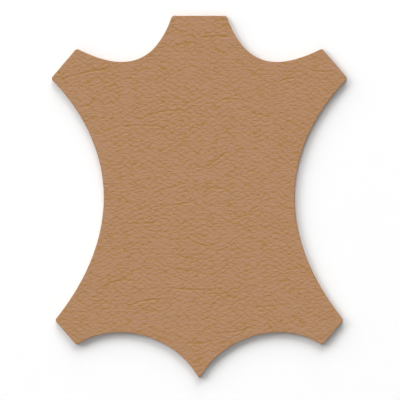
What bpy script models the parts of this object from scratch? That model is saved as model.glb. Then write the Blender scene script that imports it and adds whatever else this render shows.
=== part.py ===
"""A piece of milled leather, die-cut to the outline of a small hide and lying flat with its grain side up.

Metres, +Z up. The neck points to +Y and the tail to -Y, with the backbone line along x = 0. The origin is
under the middle of the piece, on the surface that its flesh side rests on.
"""

import math
from collections import namedtuple

import bmesh
import bpy
from mathutils import Vector
from mathutils.geometry import interpolate_bezier

MM = 0.001

# Driving dimensions, in millimetres.
THICKNESS = 2.2
CORNER_RADIUS = 0.8
GRAIN_ARRIS = 0.3
CURVE_STEP = 1.3

# Curved edges of the right side, in order from the neck to the tail, in millimetres and degrees. Each handle
# has a direction, anticlockwise from +X, and a pull, its length. A straight cut joins one curve to the next,
# and another joins the two sides across the neck.
Curve = namedtuple("Curve", "name start start_deg start_pull end end_deg end_pull")
RIGHT_SIDE = (
    Curve("neck_scoop", start=(9.8, 64.8), start_deg=289, start_pull=19.5,
          end=(44.2, 53.0), end_deg=207, end_pull=18.5),
    Curve("flank", start=(53.4, 42.2), start_deg=226, start_pull=39.0,
          end=(52.0, -44.8), end_deg=129, end_pull=34.5),
    Curve("rump_scoop", start=(44.2, -53.8), start_deg=145, start_pull=15.0,
          end=(0.0, -65.8), end_deg=60, end_pull=20.0),
)

CORNER_TURN = math.radians(20)
CORNER_SEGMENTS = 4
ARRIS_SEGMENTS = 3
WELD_DISTANCE = 0.02 * MM
FLAT = 0.99

TAN = (0.39, 0.19, 0.075, 1.0)
TAN_ROUGHNESS = 0.48


def clear_scene():
    """Take every object out of the scene."""
    for obj in list(bpy.data.objects):
        bpy.data.objects.remove(obj, do_unlink=True)


def make_collection(name):
    """A collection of this name, linked to the scene."""
    collection = bpy.data.collections.new(name)
    bpy.context.scene.collection.children.link(collection)
    return collection


def make_material(name, colour, roughness):
    """A Principled material in one colour."""
    material = bpy.data.materials.new(name)
    material.use_nodes = True
    shader = material.node_tree.nodes["Principled BSDF"]
    shader.inputs["Base Color"].default_value = colour
    shader.inputs["Roughness"].default_value = roughness
    shader.inputs["Metallic"].default_value = 0.0
    material.diffuse_color = colour
    return material


def handle(corner, degrees, pull):
    """The tip of a curve's handle at a corner."""
    angle = math.radians(degrees)
    return corner + pull * Vector((math.cos(angle), math.sin(angle)))


def curve_points(curve):
    """Points along one curved edge, with its two corners."""
    start, end = Vector(curve.start), Vector(curve.end)
    steps = round((end - start).length / CURVE_STEP)
    return interpolate_bezier(
        start,
        handle(start, curve.start_deg, curve.start_pull),
        handle(end, curve.end_deg, curve.end_pull),
        end,
        steps + 1,
    )


def outline():
    """The whole cut line, clockwise from the neck, with sharp corners."""
    right = [point.xy for curve in RIGHT_SIDE for point in curve_points(curve)]
    left = [Vector((-point.x, point.y)) for point in reversed(right[:-1])]
    return right + left


def flat_blank(points):
    """The cut line filled and given its thickness, as a mesh with one face on each side."""
    curve = bpy.data.curves.new("cut_line", "CURVE")
    curve.dimensions = "2D"
    curve.fill_mode = "BOTH"
    curve.extrude = THICKNESS * MM / 2
    spline = curve.splines.new("POLY")
    spline.points.add(len(points) - 1)
    for knot, point in zip(spline.points, points):
        knot.co = (point.x * MM, point.y * MM, 0.0, 1.0)
    spline.use_cyclic_u = True
    cut_line = bpy.data.objects.new("cut_line", curve)
    bpy.context.scene.collection.objects.link(cut_line)
    evaluated = cut_line.evaluated_get(bpy.context.evaluated_depsgraph_get())
    mesh = bpy.data.meshes.new_from_object(evaluated)
    bpy.data.objects.remove(cut_line, do_unlink=True)

    blank = bmesh.new()
    blank.from_mesh(mesh)
    bpy.data.meshes.remove(mesh)
    bmesh.ops.remove_doubles(blank, verts=blank.verts, dist=WELD_DISTANCE)
    blank.normal_update()
    inside = [edge for edge in blank.edges if all(abs(face.normal.z) > FLAT for face in edge.link_faces)]
    bmesh.ops.dissolve_edges(blank, edges=inside)
    return blank


def round_corners(blank):
    """Round the upright edges where two cuts meet, as the die's corners are."""
    upright = [edge for edge in blank.edges if abs(edge.verts[0].co.z - edge.verts[1].co.z) > THICKNESS * MM / 2]
    corners = [edge for edge in upright if edge.calc_face_angle() > CORNER_TURN]
    bmesh.ops.bevel(blank, geom=corners, affect="EDGES", offset=CORNER_RADIUS * MM, offset_type="OFFSET",
                    segments=CORNER_SEGMENTS, profile=0.5, material=-1, clamp_overlap=True)


def round_grain_arris(blank):
    """Round the upper rim, which the die pressed over as it came in from the grain side."""
    top = max(blank.faces, key=lambda face: face.calc_center_median().z)
    bmesh.ops.bevel(blank, geom=list(top.edges), affect="EDGES", offset=GRAIN_ARRIS * MM, offset_type="OFFSET",
                    segments=ARRIS_SEGMENTS, profile=0.5, material=-1, clamp_overlap=True)


def stand_on_origin(blank):
    """Put the origin under the middle of the piece's box."""
    places = [vert.co for vert in blank.verts]
    middle_x = (min(p.x for p in places) + max(p.x for p in places)) / 2
    middle_y = (min(p.y for p in places) + max(p.y for p in places)) / 2
    lowest = min(p.z for p in places)
    bmesh.ops.translate(blank, vec=(-middle_x, -middle_y, -lowest), verts=blank.verts)


def build_leather(collection):
    """The piece of leather, as one solid."""
    blank = flat_blank(outline())
    round_corners(blank)
    round_grain_arris(blank)
    stand_on_origin(blank)
    bmesh.ops.recalc_face_normals(blank, faces=blank.faces)
    mesh = bpy.data.meshes.new("leather_hide_cut")
    blank.to_mesh(mesh)
    blank.free()
    mesh.materials.append(make_material("tan_leather", TAN, TAN_ROUGHNESS))
    leather = bpy.data.objects.new("leather_hide_cut", mesh)
    collection.objects.link(leather)
    return leather


def main():
    """Build the piece in an empty scene."""
    clear_scene()
    build_leather(make_collection("piece_of_leather"))


main()
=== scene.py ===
"""Looks of a piece of milled tan leather, cut to the outline of a small hide and lying flat, grain side up.

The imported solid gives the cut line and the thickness. The sheet built here stands in for it: its grain
side has the creases and pebbles of tumbled cow leather as real relief, its rim is raw fibre, and its flesh
side is a nap. Metres, +Z up, with the neck towards +Y.
"""

from __future__ import annotations

import logging
import math
from dataclasses import dataclass, field
from enum import Enum, IntEnum
from typing import NamedTuple

import bmesh
import bpy
from mathutils import Matrix, Vector, kdtree, noise

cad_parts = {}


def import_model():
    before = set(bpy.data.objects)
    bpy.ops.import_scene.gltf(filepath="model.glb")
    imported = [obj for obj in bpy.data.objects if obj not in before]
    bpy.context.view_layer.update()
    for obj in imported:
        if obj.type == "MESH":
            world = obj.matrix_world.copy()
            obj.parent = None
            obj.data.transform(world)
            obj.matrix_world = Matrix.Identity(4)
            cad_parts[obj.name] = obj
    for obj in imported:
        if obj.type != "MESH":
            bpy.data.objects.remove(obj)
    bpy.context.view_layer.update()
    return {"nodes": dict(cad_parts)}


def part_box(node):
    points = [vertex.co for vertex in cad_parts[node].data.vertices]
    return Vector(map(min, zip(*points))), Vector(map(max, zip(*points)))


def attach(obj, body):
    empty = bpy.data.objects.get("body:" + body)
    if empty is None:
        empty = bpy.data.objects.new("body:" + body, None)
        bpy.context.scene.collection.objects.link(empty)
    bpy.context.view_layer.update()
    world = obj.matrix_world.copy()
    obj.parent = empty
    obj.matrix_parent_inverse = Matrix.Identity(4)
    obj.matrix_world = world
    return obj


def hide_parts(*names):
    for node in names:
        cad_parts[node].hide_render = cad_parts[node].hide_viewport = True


LOG = logging.getLogger("leather")

MM = 0.001
SOLID = "leather_hide_cut"
UP = Vector((0.0, 0.0, 1.0))
NECKWARD = Vector((0.0, 1.0, 0.0))


class Side(IntEnum):
    """Surfaces of the sheet, in the order of its material slots."""

    GRAIN = 0
    RIM = 1
    FLESH = 2


class NodeKind(Enum):
    """Shader nodes that the finishes are made of."""

    OUTPUT = "ShaderNodeOutputMaterial"
    PRINCIPLED = "ShaderNodeBsdfPrincipled"
    COORDINATES = "ShaderNodeTexCoord"
    MAPPING = "ShaderNodeMapping"
    ATTRIBUTE = "ShaderNodeAttribute"
    NOISE = "ShaderNodeTexNoise"
    WAVE = "ShaderNodeTexWave"
    RANGE = "ShaderNodeMapRange"
    MIX = "ShaderNodeMix"
    MATH = "ShaderNodeMath"
    VECTOR = "ShaderNodeVectorMath"
    BUMP = "ShaderNodeBump"


def hex_to_linear(code: str) -> tuple[float, float, float, float]:
    """Turn an sRGB hex colour into linear light.

    Args:
        code: Six hex digits, with or without a leading hash.

    Returns:
        Red, green, blue and an alpha of 1.
    """
    digits = code.lstrip("#")
    shares = [int(digits[i : i + 2], 16) / 255 for i in (0, 2, 4)]
    linear = [s / 12.92 if s <= 0.04045 else ((s + 0.055) / 1.055) ** 2.4 for s in shares]
    return (*linear, 1.0)


def add_node(
    material: bpy.types.Material,
    kind: NodeKind,
    settings: dict[str, object] | None = None,
    **inputs: object,
) -> bpy.types.Node:
    """Add a shader node with its settings, values and links.

    Args:
        material: The material that gets the node.
        kind: The kind of node.
        settings: Values of the node's own properties, by name.
        inputs: A value or an output socket for each input, by the input's name with underscores for spaces.
            A name that ends in two underscores and a number is the input at that place.

    Returns:
        The new node.
    """
    tree = material.node_tree
    node = tree.nodes.new(kind.value)
    for name, value in (settings or {}).items():
        setattr(node, name, value)
    for name, value in inputs.items():
        place = name.rpartition("__")[2]
        socket = node.inputs[int(place)] if place.isdigit() else node.inputs[name.replace("_", " ")]
        if isinstance(value, bpy.types.NodeSocket):
            tree.links.new(value, socket)
        else:
            socket.default_value = value
    return node


def new_material(name: str) -> bpy.types.Material:
    """Make an empty node material.

    Args:
        name: Its name.

    Returns:
        The material.
    """
    material = bpy.data.materials.new(name)
    material.use_nodes = True
    material.node_tree.nodes.clear()
    return material


@dataclass(frozen=True)
class WrinkleNet:
    """A net of fine wrinkles that is too narrow for the mesh, in millimetres and degrees.

    Its wrinkles run across the hide in wavy lines that part and meet. The stretch draws them out sideways,
    and the shift moves the net, so that no two nets lie alike.
    """

    spacing: float
    stretch: float
    lean: float
    depth: float
    # How strongly the net's wrinkles are coloured ochre and darker: partly the coat's ochre, partly painted
    # shade.
    shade_stain: float
    shift: float


@dataclass(frozen=True)
class MilledGrainFinish:
    """Full-grain cow leather, drum dyed, milled and finished with a thin semi-gloss pigment coat.

    The coat gathers in the wrinkles, so the valleys are a shade more ochre than the pinker crests. They are
    also painted darker, most on the neckward wall of each wrinkle, as painted shade. It gives the eye an
    even tan with a soft, broad gloss and no mirror in it.
    """

    name: str = "milled_full_grain_leather"
    crest_colour: str = "#AD856A"
    # The valley colour is darker and more ochre than the crest colour: partly the coat's ochre, partly
    # painted shade.
    ochre_and_shade_colour: str = "#A1783F"
    roughness: float = 0.42
    ior: float = 1.5
    specular: float = 0.1
    coat: float = 0.2
    coat_roughness: float = 0.28
    nets: tuple[WrinkleNet, ...] = (
        WrinkleNet(1.8, 1.4, 28.0, 0.028, 0.55, 0.0),
        WrinkleNet(1.7, 1.4, -28.0, 0.032, 0.6, 17.0),
        WrinkleNet(1.4, 1.4, 0.0, 0.023, 0.4, 29.0),
        WrinkleNet(0.9, 0.9, 0.0, 0.023, 0.3, 41.0),
    )
    # The wave texture's own period at a scale of 1, by which the nets' spacings become real ones.
    wave_period: float = 0.314
    wave_sway: float = 7.0
    wave_detail_scale: float = 1.7
    least_share: float = 0.25
    furrow_curve: float = 6.5
    # The stain's narrowing power, and how far the stain is moved towards the neck onto the shaded wall of
    # each wrinkle: painted shade.
    shade_stain_curve: float = 3.2
    shade_shift: float = 0.16
    drift: float = 0.9
    drift_length: float = 2.6
    fading_length: float = 3.6
    fading_range: tuple[float, float] = (0.35, 0.62)
    detail: float = 2.0
    detail_roughness: float = 0.6
    # Real pores are about 0.1 mm wide. They are drawn coarser, so that they show.
    pore: float = 0.36
    pore_depth: float = 0.032

    def material(self) -> bpy.types.Material:
        """Build the finish of the grain side.

        Returns:
            The material, with its colour turned ochre and darker in the relief's valleys and the fine
            wrinkles, partly as painted shade.
        """
        made = new_material(self.name)
        place = add_node(made, NodeKind.COORDINATES).outputs["Object"]
        ochre_and_shade = add_node(made, NodeKind.ATTRIBUTE, {"attribute_name": GrainRelief.OCHRE_AND_SHADE}).outputs["Fac"]
        swayed = self._swayed(made, place)
        # The stain is read shifted towards the neck, so that it lies on the wall of each wrinkle that faces
        # away from the neck lamps: painted shade.
        shifted_to_shade = add_node(
            made,
            NodeKind.VECTOR,
            {"operation": "ADD"},
            Vector__0=swayed,
            Vector__1=(0.0, -self.shade_shift * MM, 0.0),
        ).outputs["Vector"]
        normal = None
        for net in self.nets:
            share = self._share(made, place, net)
            furrow = self._line(made, self._wave(made, swayed, net), share, self.furrow_curve)
            below = {"Normal": normal} if normal else {}
            normal = add_node(
                made, NodeKind.BUMP, {"invert": True}, Distance=net.depth * MM, Height=furrow, **below
            ).outputs["Normal"]
            stain_and_shade = add_node(
                made,
                NodeKind.MATH,
                {"operation": "MULTIPLY"},
                Value__0=self._line(made, self._wave(made, shifted_to_shade, net), share, self.shade_stain_curve),
                Value__1=net.shade_stain,
            ).outputs["Value"]
            ochre_and_shade = add_node(
                made,
                NodeKind.MATH,
                {"operation": "ADD", "use_clamp": True},
                Value__0=ochre_and_shade,
                Value__1=stain_and_shade,
            ).outputs["Value"]
        pores = add_node(
            made, NodeKind.NOISE, Vector=place, Scale=1.0 / (self.pore * MM), Detail=self.detail
        ).outputs["Fac"]
        normal = add_node(
            made, NodeKind.BUMP, Distance=self.pore_depth * MM, Height=pores, Normal=normal
        ).outputs["Normal"]
        # Crest tan mixed towards the darker ochre colour in the valleys and wrinkles: partly the coat's
        # ochre, partly painted shade.
        colour = add_node(
            made,
            NodeKind.MIX,
            {"data_type": "RGBA"},
            Factor__0=ochre_and_shade,
            A__6=hex_to_linear(self.crest_colour),
            B__7=hex_to_linear(self.ochre_and_shade_colour),
        ).outputs[2]
        shader = add_node(
            made,
            NodeKind.PRINCIPLED,
            Base_Color=colour,
            Roughness=self.roughness,
            IOR=self.ior,
            Specular_IOR_Level=self.specular,
            Coat_Weight=self.coat,
            Coat_Roughness=self.coat_roughness,
            Normal=normal,
            Coat_Normal=normal,
        )
        add_node(made, NodeKind.OUTPUT, Surface=shader.outputs["BSDF"])
        return made

    def _swayed(self, made: bpy.types.Material, place: bpy.types.NodeSocket) -> bpy.types.NodeSocket:
        """Let places drift a little, so that no wrinkle runs straight.

        Args:
            made: The material.
            place: Places on the sheet.

        Returns:
            The places, each moved by up to the drift.
        """
        drifts = add_node(
            made,
            NodeKind.NOISE,
            Vector=place,
            Scale=1.0 / (self.drift_length * MM),
            Detail=self.detail,
            Roughness=self.detail_roughness,
        ).outputs["Color"]
        centred = add_node(
            made, NodeKind.VECTOR, {"operation": "SUBTRACT"}, Vector__0=drifts, Vector__1=(0.5, 0.5, 0.5)
        ).outputs["Vector"]
        sway = add_node(
            made, NodeKind.VECTOR, {"operation": "SCALE"}, Vector__0=centred, Scale=2.0 * self.drift * MM
        ).outputs["Vector"]
        return add_node(
            made, NodeKind.VECTOR, {"operation": "ADD"}, Vector__0=place, Vector__1=sway
        ).outputs["Vector"]

    def _wave(
        self, made: bpy.types.Material, place: bpy.types.NodeSocket, net: WrinkleNet
    ) -> bpy.types.NodeSocket:
        """Add the waves of one net.

        Args:
            made: The material.
            place: Places on the sheet, with the wrinkles' sway in them.
            net: The net.

        Returns:
            The wave, 1 along its wrinkles and 0 midway between them.
        """
        leaning = add_node(
            made, NodeKind.MAPPING, Vector=place, Rotation=(0.0, 0.0, math.radians(net.lean))
        ).outputs["Vector"]
        apart = self.wave_period / (net.spacing * MM)
        stretched = add_node(
            made,
            NodeKind.MAPPING,
            Vector=leaning,
            Location=(net.shift, net.shift, 0.0),
            Scale=(apart / net.stretch, apart, apart),
        ).outputs["Vector"]
        return add_node(
            made,
            NodeKind.WAVE,
            {"wave_type": "BANDS", "bands_direction": "Y", "wave_profile": "SIN"},
            Vector=stretched,
            Scale=1.0,
            Distortion=self.wave_sway,
            Detail=self.detail,
            Detail_Scale=self.wave_detail_scale,
            Detail_Roughness=self.detail_roughness,
        ).outputs["Fac"]

    def _share(
        self, made: bpy.types.Material, place: bpy.types.NodeSocket, net: WrinkleNet
    ) -> bpy.types.NodeSocket:
        """Let a net fade in and out over the hide.

        Args:
            made: The material.
            place: Places on the sheet.
            net: The net.

        Returns:
            How much of the net shows, from 0 to 1.
        """
        fading = add_node(
            made,
            NodeKind.NOISE,
            {"noise_dimensions": "4D"},
            Vector=place,
            W=net.shift,
            Scale=1.0 / (self.fading_length * MM),
            Detail=self.detail,
            Roughness=self.detail_roughness,
        ).outputs["Fac"]
        return add_node(
            made,
            NodeKind.RANGE,
            Value=fading,
            From_Min=self.fading_range[0],
            From_Max=self.fading_range[1],
            To_Min=self.least_share,
        ).outputs["Result"]

    @staticmethod
    def _line(
        made: bpy.types.Material, wave: bpy.types.NodeSocket, share: bpy.types.NodeSocket, curve: float
    ) -> bpy.types.NodeSocket:
        """Narrow a wave to a line, and let it show by its share.

        Args:
            made: The material.
            wave: The wave, from 0 to 1.
            share: How much of it shows.
            curve: The power that narrows it.

        Returns:
            The line, from 0 to 1.
        """
        narrowed = add_node(
            made, NodeKind.MATH, {"operation": "POWER"}, Value__0=wave, Value__1=curve
        ).outputs["Value"]
        return add_node(
            made, NodeKind.MATH, {"operation": "MULTIPLY"}, Value__0=narrowed, Value__1=share
        ).outputs["Value"]


@dataclass(frozen=True)
class CutFibreFinish:
    """Raw cut edge: drum-dyed collagen fibre, sliced by a die and left without edge paint.

    It gives the eye a matt, slightly darker line with loose layers along it.
    """

    name: str = "raw_cut_leather_fibre"
    light_colour: str = "#A57B55"
    dark_colour: str = "#7C5634"
    roughness: float = 0.85
    # Real fibre bundles are 0.05 to 0.1 mm thick. They are drawn coarser, so that they show.
    fibre: float = 0.5
    layer: float = 0.16
    depth: float = 0.06
    detail: float = 4.0
    detail_roughness: float = 0.65
    shade_range: tuple[float, float] = (0.3, 0.7)

    def material(self) -> bpy.types.Material:
        """Build the finish of the rim.

        Returns:
            The material, with fibres drawn long along the rim and short through its thickness.
        """
        made = new_material(self.name)
        place = add_node(made, NodeKind.COORDINATES).outputs["Object"]
        layered = add_node(
            made, NodeKind.MAPPING, Vector=place, Scale=(1.0, 1.0, self.fibre / self.layer)
        ).outputs["Vector"]
        fibres = add_node(
            made,
            NodeKind.NOISE,
            Vector=layered,
            Scale=1.0 / (self.fibre * MM),
            Detail=self.detail,
            Roughness=self.detail_roughness,
        ).outputs["Fac"]
        darkest, lightest = self.shade_range
        shade = add_node(
            made, NodeKind.RANGE, Value=fibres, From_Min=darkest, From_Max=lightest
        ).outputs["Result"]
        colour = add_node(
            made,
            NodeKind.MIX,
            {"data_type": "RGBA"},
            Factor__0=shade,
            A__6=hex_to_linear(self.dark_colour),
            B__7=hex_to_linear(self.light_colour),
        ).outputs[2]
        frayed = add_node(made, NodeKind.BUMP, Distance=self.depth * MM, Height=fibres).outputs["Normal"]
        shader = add_node(
            made, NodeKind.PRINCIPLED, Base_Color=colour, Roughness=self.roughness, Normal=frayed
        )
        add_node(made, NodeKind.OUTPUT, Surface=shader.outputs["BSDF"])
        return made


@dataclass(frozen=True)
class SuedeFleshFinish:
    """Flesh side: the split and buffed underside of the hide, a short nap of dyed fibre ends.

    It gives the eye a dusty, paler tan that brightens at grazing angles, mottled where the nap lies over.
    """

    name: str = "buffed_flesh_side_nap"
    light_colour: str = "#BC9570"
    dark_colour: str = "#9B7450"
    roughness: float = 0.95
    sheen: float = 0.35
    sheen_roughness: float = 0.5
    patch: float = 9.0
    patch_detail: float = 3.0
    patch_roughness: float = 0.6
    shade_range: tuple[float, float] = (0.3, 0.7)
    # A real nap's fibre ends are under 0.1 mm. They are drawn coarser, as tufts, so that the nap shows.
    nap: float = 0.45
    nap_detail: float = 4.0
    nap_roughness: float = 0.7
    depth: float = 0.08

    def material(self) -> bpy.types.Material:
        """Build the finish of the flesh side.

        Returns:
            The material, with broad patches of the nap's lie under its fine fibre.
        """
        made = new_material(self.name)
        place = add_node(made, NodeKind.COORDINATES).outputs["Object"]
        patches = add_node(
            made,
            NodeKind.NOISE,
            Vector=place,
            Scale=1.0 / (self.patch * MM),
            Detail=self.patch_detail,
            Roughness=self.patch_roughness,
        ).outputs["Fac"]
        darkest, lightest = self.shade_range
        shade = add_node(
            made, NodeKind.RANGE, Value=patches, From_Min=darkest, From_Max=lightest
        ).outputs["Result"]
        colour = add_node(
            made,
            NodeKind.MIX,
            {"data_type": "RGBA"},
            Factor__0=shade,
            A__6=hex_to_linear(self.dark_colour),
            B__7=hex_to_linear(self.light_colour),
        ).outputs[2]
        fibres = add_node(
            made,
            NodeKind.NOISE,
            Vector=place,
            Scale=1.0 / (self.nap * MM),
            Detail=self.nap_detail,
            Roughness=self.nap_roughness,
        ).outputs["Fac"]
        napped = add_node(made, NodeKind.BUMP, Distance=self.depth * MM, Height=fibres).outputs["Normal"]
        shader = add_node(
            made,
            NodeKind.PRINCIPLED,
            Base_Color=colour,
            Roughness=self.roughness,
            Sheen_Weight=self.sheen,
            Sheen_Roughness=self.sheen_roughness,
            Normal=napped,
        )
        add_node(made, NodeKind.OUTPUT, Surface=shader.outputs["BSDF"])
        return made


class Crease(NamedTuple):
    """One main crease of the grain side, in millimetres and degrees.

    It starts at x, y and runs for its length along its heading, bowing to its left by bow at its middle.
    """

    x: float
    y: float
    length: float
    heading: float
    bow: float
    depth: float


# The main creases, listed from the neck and fore shanks over the body to the rump and hind shanks.
CREASES = (
    Crease(-10.0, 61.0, 11.0, -25, 0.0, 0.10),
    Crease(0.0, 57.0, 11.0, 3, 0.3, 0.10),
    Crease(-9.0, 53.5, 10.0, 9, 1.0, 0.10),
    Crease(5.0, 53.5, 6.0, -27, 0.0, 0.08),
    Crease(5.0, 48.5, 6.0, -33, 0.0, 0.08),
    Crease(-50.0, 42.0, 20.0, 13, 0.5, 0.10),
    Crease(39.0, 46.0, 10.0, -5, -0.5, 0.10),
    Crease(26.0, 41.0, 9.0, 12, 0.0, 0.08),
    Crease(-17.0, 48.0, 8.0, -35, 0.5, 0.08),
    Crease(8.0, 35.0, 10.0, -5, 0.5, 0.08),
    Crease(15.0, 33.0, 12.0, -20, -1.0, 0.10),
    Crease(-19.0, 29.0, 15.0, 5, 1.0, 0.08),
    Crease(-30.0, 25.0, 19.0, 0, 0.5, 0.08),
    Crease(-5.0, 19.0, 7.0, -40, 0.0, 0.10),
    Crease(1.0, 10.0, 11.0, 36, -0.5, 0.08),
    Crease(-17.0, 0.5, 13.0, 18, 0.5, 0.08),
    Crease(0.5, 3.5, 10.0, -3, -0.5, 0.10),
    Crease(-15.0, -3.5, 15.0, 11, -1.0, 0.08),
    Crease(-26.0, -9.5, 11.0, 2, -0.5, 0.08),
    Crease(16.0, -10.0, 7.0, -25, 0.0, 0.08),
    Crease(-3.0, -16.0, 10.0, -3, -1.5, 0.08),
    Crease(-8.0, -20.5, 9.0, -14, -1.0, 0.10),
    Crease(-10.0, -26.0, 11.0, -7, 0.0, 0.08),
    Crease(35.0, -24.0, 8.0, -42, 0.5, 0.08),
    Crease(-35.0, -33.0, 13.0, 10, 1.5, 0.10),
    Crease(-13.0, -33.0, 19.0, -3, 0.0, 0.10),
    Crease(-27.0, -40.0, 17.0, 11, 1.0, 0.10),
    Crease(-22.0, -39.5, 10.0, -10, -1.0, 0.08),
    Crease(19.0, -39.5, 14.0, 4, -0.5, 0.08),
    Crease(5.0, -49.0, 15.0, 9, -1.0, 0.08),
    Crease(-4.0, -52.5, 10.0, 3, -0.5, 0.10),
)


@dataclass(frozen=True)
class Pebbles:
    """One size of pebble: domes in a warped cell pattern, with a furrow along each border.

    Sizes are millimetres. Furrows that run across the hide are deeper than those along it, by upright_share.
    """

    width: float
    height: float
    furrow_depth: float
    furrow_width: float
    crown: float
    layer: float
    upright_share: float = 0.4
    flattest: float = 1e-6

    def furrow_and_crown(self, x: float, y: float) -> tuple[float, float]:
        """Measure the pebbles at one point.

        Args:
            x: Place across the hide, in millimetres.
            y: Place along the hide, in millimetres.

        Returns:
            The furrow's depth and the crown's height there, in millimetres.
        """
        cell = Vector((x / self.width, y / self.height, self.layer))
        points = noise.voronoi(cell)[1]
        across = points[1] - points[0]
        across.normalize()
        to_border = ((points[0] + points[1]) / 2 - cell).dot(across)
        slope = Vector((across.x / self.width, across.y / self.height)).length
        reach = to_border / max(slope, self.flattest)
        level = abs(across.y / self.height) / max(slope, self.flattest)
        share = self.upright_share + (1.0 - self.upright_share) * level
        furrow = self.furrow_depth * share * math.exp(-((reach / self.furrow_width) ** 2))
        crown = self.crown * (1.0 - math.exp(-reach / self.furrow_width))
        return furrow, crown


@dataclass
class GrainRelief:
    """Height of the grain side over the flat sheet, with the main creases laid in one by one.

    Sizes are millimetres, and lean is the degrees by which the pebbles' rows fall from level towards the
    right. A least is the share that is always there, and a swing is how far noise moves it up and down. A
    row and a layer pick the stretch of noise that is read, so that no two readings are alike.
    """

    # Name of the vertex layer that holds the creases' stain, partly painted shade.
    OCHRE_AND_SHADE = "ochre_and_shade"

    creases: tuple[Crease, ...] = CREASES
    lean: float = 10.0
    crease_width: float = 0.32
    crease_reach: float = 4.0
    crease_lip: float = 0.4
    lip_place: float = 1.9
    crease_step: float = 0.25
    least_steps: int = 4
    wander: float = 0.35
    wander_length: float = 2.4
    sway_row: float = 7.3
    sway_layer: float = 0.5
    tip_taper: float = 5.0
    tip_least: float = 0.15
    strength_least: float = 0.85
    strength_swing: float = 0.5
    strength_length: float = 1.7
    strength_row: float = 3.1
    strength_layer: float = 9.5
    folds: Pebbles = Pebbles(3.4, 2.2, 0.025, 0.34, 0.008, 11.3)
    pebbles: Pebbles = Pebbles(1.7, 1.2, 0.012, 0.28, 0.004, 47.9)
    warp: float = 0.9
    warp_length: float = 3.2
    across_layer: float = 3.7
    along_layer: float = 8.3
    fine_warp: float = 0.35
    fine_warp_length: float = 0.4
    pebble_warp: float = 0.7
    fold_least: float = 0.75
    fold_swing: float = 0.6
    fold_patch: float = 6.0
    pebble_least: float = 0.85
    pebble_swing: float = 0.5
    pebble_patch: float = 4.0
    pebble_layer: float = 5.0
    slump: float = 0.015
    slump_length: float = 24.0
    slump_layer: float = 31.0
    # Crease depth at which the stain is full, and how far it is moved towards the neck onto each crease's
    # shaded wall: partly ochre, partly painted shade.
    full_shade_stain: float = 0.12
    shade_shift: float = 0.16
    _turn: Matrix = field(init=False, repr=False)
    _tree: kdtree.KDTree = field(init=False, repr=False)
    _depths: list[float] = field(init=False, repr=False)

    def __post_init__(self) -> None:
        """Walk every crease and keep its points and depths for the lookups."""
        self._turn = Matrix.Rotation(math.radians(self.lean), 3, "Z")
        walked = []
        for number, crease in enumerate(self.creases):
            walked += self._walk(number, crease)
        self._depths = [depth for _, depth in walked]
        self._tree = kdtree.KDTree(len(walked))
        for index, (place, _) in enumerate(walked):
            self._tree.insert(place, index)
        self._tree.balance()

    def _walk(self, number: int, crease: Crease) -> list[tuple[Vector, float]]:
        """Step along one crease.

        Args:
            number: Place of the crease in the table, which sets how it wanders.
            crease: The crease.

        Returns:
            Points along it with the depth at each, which fades at both ends.
        """
        heading = math.radians(crease.heading)
        along = Vector((math.cos(heading), math.sin(heading), 0.0))
        left = Vector((-along.y, along.x, 0.0))
        start = Vector((crease.x, crease.y, 0.0))
        steps = max(self.least_steps, round(crease.length / self.crease_step))
        walked = []
        for step in range(steps + 1):
            share = step / steps
            run = share * crease.length
            sway = self.wander * noise.noise(
                Vector((run / self.wander_length, number * self.sway_row, self.sway_layer))
            )
            side = crease.bow * 4.0 * share * (1.0 - share) + sway
            ends = min(1.0, self.tip_taper * min(share, 1.0 - share) + self.tip_least)
            swing = self.strength_swing * noise.noise(
                Vector((run / self.strength_length, number * self.strength_row, self.strength_layer))
            )
            strength = ends * (self.strength_least + swing)
            walked.append((start + along * run + left * side, crease.depth * strength))
        return walked

    def _main_crease(self, place: Vector) -> float:
        """Measure the nearest main crease from one place.

        Args:
            place: The place on the sheet, in millimetres.

        Returns:
            The crease's depth there in millimetres, less than nothing on its raised lips.
        """
        _, index, distance = self._tree.find(place)
        reach = distance / self.crease_width
        if reach > self.crease_reach:
            return 0.0
        trough = math.exp(-(reach**2))
        lip = self.crease_lip * math.exp(-((reach - self.lip_place) ** 2))
        return self._depths[index] * (trough - lip)

    def _push(self, place: Vector) -> Vector:
        """Let noise push a place across and along the hide.

        Each direction reads a layer of the plain noise, because the vector noise differs from run to run.

        Args:
            place: The place, counted in lengths of the push.

        Returns:
            The push, of up to about 1 each way.
        """
        across = noise.noise(place + UP * self.across_layer)
        along = noise.noise(place + UP * self.along_layer)
        return Vector((across, along, 0.0))

    def height_and_shade_stain(self, x: float, y: float) -> tuple[float, float]:
        """Measure the relief at one point.

        Args:
            x: Place across the hide, in millimetres.
            y: Place along the hide, in millimetres.

        Returns:
            The height over the flat sheet in millimetres, and how strong the stain of a main crease is
            there, from 0 to 1: partly ochre, partly painted shade on the crease's neckward wall.
        """
        place = Vector((x, y, 0.0))
        drift = self._push(place / self.warp_length) * self.warp
        fine_length = self.warp_length * self.fine_warp_length
        drift += self._push(place / fine_length) * (self.warp * self.fine_warp)
        turned = self._turn @ (place + drift)
        fold, fold_crown = self.folds.furrow_and_crown(turned.x, turned.y)
        turned = self._turn @ (place + drift * self.pebble_warp)
        furrow, crown = self.pebbles.furrow_and_crown(turned.x, turned.y)
        loose = self.fold_least + self.fold_swing * noise.noise(place / self.fold_patch)
        fine_place = place / self.pebble_patch + UP * self.pebble_layer
        fine = self.pebble_least + self.pebble_swing * noise.noise(fine_place)
        crease = self._main_crease(place)
        depth = fold * loose + furrow * fine + crease
        slump = self.slump * noise.noise(place / self.slump_length + UP * self.slump_layer)
        height = slump + fold_crown * loose + crown * fine - depth
        # The stain is read a little towards the tail, so that it sits on each crease's neckward wall, in
        # shade from the neck lamps: painted shade.
        shade_stain = self._main_crease(place - NECKWARD * self.shade_shift) / self.full_shade_stain
        return height, min(1.0, max(0.0, shade_stain))


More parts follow.
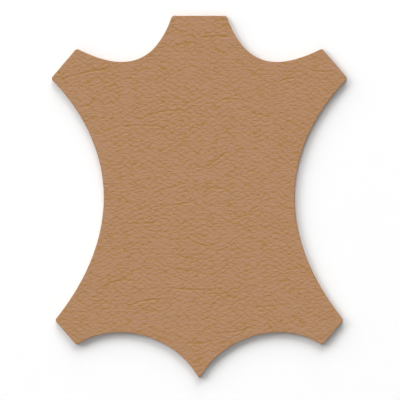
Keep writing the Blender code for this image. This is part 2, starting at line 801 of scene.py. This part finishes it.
@dataclass
class LeatherSheet:
    """The sheet of leather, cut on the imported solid's line and as thick, with relief on its grain side.

    Sizes are millimetres. The border share is how much of a grid square stays free along the cut line, and a
    face of the solid whose normal has a height below downward belongs to its underside.
    """

    solid: bpy.types.Object
    relief: GrainRelief
    name: str = "leather_sheet"
    rim_step: float = 0.36
    wall_rows: int = 5
    arris: float = 0.15
    arris_rows: int = 3
    grain_pitch: float = 0.35
    flesh_pitch: float = 1.3
    border_share: float = 0.6
    weld: float = 0.001
    downward: float = -0.99
    area: float = field(init=False, default=0.0)

    def build(self, finishes: dict[Side, bpy.types.Material]) -> bpy.types.Object:
        """Model the sheet and dress its sides.

        Args:
            finishes: The material of each side.

        Returns:
            The finished object.
        """
        low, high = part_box(self.solid.name)
        shape = bmesh.new()
        flesh = self._cut_line(shape)
        self.area = flesh.calc_area()
        grain = self._raise_rim(shape, flesh, high[2] - low[2])
        for face in shape.faces:
            face.material_index = Side.RIM
        self._lay_grid(shape, flesh, self.flesh_pitch * MM, Side.FLESH)
        self._lay_grid(shape, grain, self.grain_pitch * MM, Side.GRAIN)
        self._emboss(shape, high[2])
        for face in shape.faces:
            face.smooth = True
        for edge in shape.edges:
            sides = {face.material_index for face in edge.link_faces}
            edge.smooth = Side.FLESH not in sides or len(sides) == 1
        open_edges = sum(1 for edge in shape.edges if len(edge.link_faces) != 2)
        LOG.info("%s: %d faces, %d open edges", self.name, len(shape.faces), open_edges)
        mesh = bpy.data.meshes.new(self.name)
        shape.to_mesh(mesh)
        shape.free()
        for side in Side:
            mesh.materials.append(finishes[side])
        sheet = bpy.data.objects.new(self.name, mesh)
        bpy.context.scene.collection.objects.link(sheet)
        return sheet

    def _cut_line(self, shape: bmesh.types.BMesh) -> bmesh.types.BMFace:
        """Take the solid's flat underside as one face with a finely stepped border.

        Args:
            shape: An empty mesh, which gets the face.

        Returns:
            The face, turned up so that what is raised from it faces outwards.
        """
        shape.from_mesh(self.solid.data)
        bmesh.ops.remove_doubles(shape, verts=shape.verts, dist=self.weld * MM)
        upper = [face for face in shape.faces if face.normal.z > self.downward]
        bmesh.ops.delete(shape, geom=upper, context="FACES")
        bmesh.ops.dissolve_faces(shape, faces=shape.faces[:])
        for edge in shape.edges[:]:
            cuts = math.ceil(edge.calc_length() / (self.rim_step * MM)) - 1
            if cuts > 0:
                bmesh.ops.bisect_edges(shape, edges=[edge], cuts=cuts)
        shape.faces.ensure_lookup_table()
        outline = shape.faces[0]
        bmesh.ops.reverse_faces(shape, faces=[outline])
        return outline

    def _raise_rim(
        self, shape: bmesh.types.BMesh, flesh: bmesh.types.BMFace, thickness: float
    ) -> bmesh.types.BMFace:
        """Raise the sheet's thickness from its underside, with the grain side's edge rounded off.

        Args:
            shape: The mesh with the underside in it.
            flesh: The underside.
            thickness: Height of the grain side in metres.

        Returns:
            The face of the grain side.
        """
        top = flesh
        wall = thickness - self.arris * MM
        for _ in range(self.wall_rows):
            raised = bmesh.ops.extrude_face_region(shape, geom=[top])["geom"]
            lower = top
            top = next(part for part in raised if isinstance(part, bmesh.types.BMFace))
            bmesh.ops.translate(shape, verts=top.verts, vec=UP * (wall / self.wall_rows))
            if lower is not flesh:
                shape.faces.remove(lower)
        quarter = math.pi / 2 / self.arris_rows
        for row in range(self.arris_rows):
            inward = math.cos(row * quarter) - math.cos((row + 1) * quarter)
            upward = math.sin((row + 1) * quarter) - math.sin(row * quarter)
            bmesh.ops.inset_region(
                shape,
                faces=[top],
                use_boundary=True,
                use_even_offset=True,
                thickness=inward * self.arris * MM,
                depth=upward * self.arris * MM,
            )
        return top

    def _lay_grid(
        self, shape: bmesh.types.BMesh, cap: bmesh.types.BMFace, pitch: float, side: Side
    ) -> None:
        """Replace a cap by an even grid that is stitched to its border.

        Args:
            shape: The mesh.
            cap: The one flat face that is replaced.
            pitch: Size of a grid square in metres.
            side: The side of the sheet that the new faces belong to.
        """
        facing = cap.normal.copy()
        border = list(cap.edges)
        level = cap.verts[0].co.z
        tree = kdtree.KDTree(len(cap.loops))
        inward = []
        for index, loop in enumerate(cap.loops):
            ahead = loop.link_loop_next.vert.co - loop.link_loop_prev.vert.co
            inward.append(facing.cross(ahead).normalized())
            tree.insert(loop.vert.co, index)
        tree.balance()
        spans = [max(abs(vert.co[axis]) for vert in cap.verts) + pitch for axis in (0, 1)]
        known = set(shape.faces)
        shape.faces.remove(cap)
        known.discard(cap)
        placed = Matrix.Translation(UP * level) @ Matrix.Diagonal((spans[0], spans[1], 1.0, 1.0))
        grid = bmesh.ops.create_grid(
            shape,
            x_segments=round(2 * spans[0] / pitch),
            y_segments=round(2 * spans[1] / pitch),
            size=1.0,
            matrix=placed,
        )["verts"]
        outside = []
        for vert in grid:
            near, index, _ = tree.find(vert.co)
            if (vert.co - near).dot(inward[index]) < self.border_share * pitch:
                outside.append(vert)
        bmesh.ops.delete(shape, geom=outside, context="VERTS")
        laid = [vert for vert in grid if vert.is_valid]
        self._trim_points(shape, laid)
        kept = [vert for vert in laid if vert.is_valid]
        ragged = dict.fromkeys(edge for vert in kept for edge in vert.link_edges if edge.is_boundary)
        bmesh.ops.triangle_fill(shape, use_beauty=True, edges=border + list(ragged), normal=facing)
        added = [face for face in shape.faces if face not in known]
        wrong = [face for face in added if face.normal.dot(facing) < 0.0]
        bmesh.ops.reverse_faces(shape, faces=wrong)
        for face in added:
            face.material_index = side

    @staticmethod
    def _trim_points(shape: bmesh.types.BMesh, laid: list[bmesh.types.BMVert]) -> None:
        """Take off grid corners that only touch the rest at a point, and those left on their own.

        Args:
            shape: The mesh.
            laid: The grid's corners.
        """
        while True:
            loose = [
                vert
                for vert in laid
                if vert.is_valid and sum(1 for edge in vert.link_edges if edge.is_boundary) not in (0, 2)
            ]
            loose += [vert for vert in laid if vert.is_valid and not vert.link_faces]
            if not loose:
                return
            bmesh.ops.delete(shape, geom=list(set(loose)), context="VERTS")

    def _emboss(self, shape: bmesh.types.BMesh, top: float) -> None:
        """Press the relief into the grain side, fading it out over the rounded edge.

        Args:
            shape: The closed mesh of the sheet.
            top: Height of the flat grain side in metres.
        """
        # Each vertex keeps the main creases' stain, partly painted shade, for the grain finish.
        ochre_and_shade = shape.verts.layers.float.new(GrainRelief.OCHRE_AND_SHADE)
        low = top - self.arris * MM
        for vert in shape.verts:
            sides = {face.material_index for face in vert.link_faces}
            share = (vert.co.z - low) / (top - low)
            if Side.GRAIN not in sides and share <= 0.0:
                continue
            # The second value is the creases' stain, partly painted shade.
            height, depth = self.relief.height_and_shade_stain(vert.co.x / MM, vert.co.y / MM)
            weight = max(0.0, min(1.0, share)) ** 2
            vert.co.z += height * weight * MM
            vert[ochre_and_shade] = depth * weight


@dataclass(frozen=True)
class Lamp:
    """An oval softbox aimed at the sheet, in metres, watts and degrees."""

    name: str
    bearing: float
    elevation: float
    width: float
    height: float
    power: float
    distance: float = 9.0

    def hang(self) -> None:
        """Hang the lamp at its bearing west of the neck and at its elevation over the table."""
        bearing = math.radians(self.bearing)
        elevation = math.radians(self.elevation)
        towards = Vector(
            (
                -math.sin(bearing) * math.cos(elevation),
                math.cos(bearing) * math.cos(elevation),
                math.sin(elevation),
            )
        )
        light = bpy.data.lights.new(self.name, "AREA")
        light.shape = "ELLIPSE"
        light.size = self.width
        light.size_y = self.height
        light.energy = self.power
        hung = bpy.data.objects.new(self.name, light)
        facing = towards.to_track_quat("Z", "Y").to_matrix().to_4x4()
        hung.matrix_world = Matrix.Translation(towards * self.distance) @ facing
        bpy.context.scene.collection.objects.link(hung)


@dataclass
class Studio:
    """A white table in a white room, with the camera straight above.

    Two broad low softboxes at the left and the neck throw the soft shadow, a weaker one beyond the tail
    fills it, and a small high one draws out the grain. The floor is metres across, and the lens and the view
    are in millimetres.
    """

    floor_size: float = 60.0
    floor_colour: str = "#F3F3F3"
    floor_roughness: float = 0.9
    sky: float = 0.167
    lamps: tuple[Lamp, ...] = (
        Lamp("left_softbox", 60.0, 28.0, 7.2, 7.2, 683.0),
        Lamp("neck_softbox", 0.0, 28.0, 7.2, 7.2, 816.0),
        Lamp("tail_softbox", 170.0, 50.0, 7.2, 7.2, 162.0),
        Lamp("grain_softbox", 10.0, 65.0, 2.3, 2.3, 50.0),
    )
    lens: float = 800.0
    view_width: float = 144.0
    view_centre: tuple[float, float] = (0.25, -1.24)

    def build(self, thickness: float) -> None:
        """Set up the table, the light and the camera.

        Args:
            thickness: Height of the sheet's grain side in metres.
        """
        self._table()
        for lamp in self.lamps:
            lamp.hang()
        self._room()
        self._camera(thickness)

    def _table(self) -> None:
        """Lay the table top under the sheet."""
        shape = bmesh.new()
        bmesh.ops.create_grid(shape, x_segments=1, y_segments=1, size=self.floor_size / 2)
        mesh = bpy.data.meshes.new("table_top")
        shape.to_mesh(mesh)
        shape.free()
        table = bpy.data.objects.new("table_top", mesh)
        # Matt white board: it gives the eye an even white with soft grey shadows.
        board = new_material("matt_white_board")
        shader = add_node(
            board,
            NodeKind.PRINCIPLED,
            Base_Color=hex_to_linear(self.floor_colour),
            Roughness=self.floor_roughness,
            Specular_IOR_Level=0.0,
        )
        add_node(board, NodeKind.OUTPUT, Surface=shader.outputs["BSDF"])
        mesh.materials.append(board)
        bpy.context.scene.collection.objects.link(table)

    def _room(self) -> None:
        """Fill the room with even white light."""
        room = bpy.data.worlds.new("white_room")
        room.use_nodes = True
        backdrop = room.node_tree.nodes["Background"]
        backdrop.inputs["Color"].default_value = (1.0, 1.0, 1.0, 1.0)
        backdrop.inputs["Strength"].default_value = self.sky
        bpy.context.scene.world = room

    def _camera(self, thickness: float) -> None:
        """Look straight down at the grain side from far off, as the photograph has no perspective.

        Args:
            thickness: Height of the sheet's grain side in metres.
        """
        data = bpy.data.cameras.new("camera")
        data.lens = self.lens
        distance = self.view_width * MM * data.lens / data.sensor_width
        camera = bpy.data.objects.new("camera", data)
        camera.location = (self.view_centre[0] * MM, self.view_centre[1] * MM, thickness + distance)
        bpy.context.scene.collection.objects.link(camera)
        bpy.context.scene.camera = camera
        bpy.context.scene.view_settings.view_transform = "Standard"


def main() -> None:
    """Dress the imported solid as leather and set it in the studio."""
    logging.basicConfig(level=logging.INFO, format="%(name)s: %(message)s")
    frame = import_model()
    low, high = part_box(SOLID)

    sheet_maker = LeatherSheet(frame["nodes"][SOLID], GrainRelief())
    finishes = {
        Side.GRAIN: MilledGrainFinish().material(),
        Side.RIM: CutFibreFinish().material(),
        Side.FLESH: SuedeFleshFinish().material(),
    }
    sheet = sheet_maker.build(finishes)
    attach(sheet, "root")
    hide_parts(SOLID)
    LOG.info("%s: cut area %.0f mm2", sheet.name, sheet_maker.area / MM**2)

    Studio().build(high[2])
    LOG.info("studio: table, lamps, room and camera set")


if __name__ == "__main__":
    main()
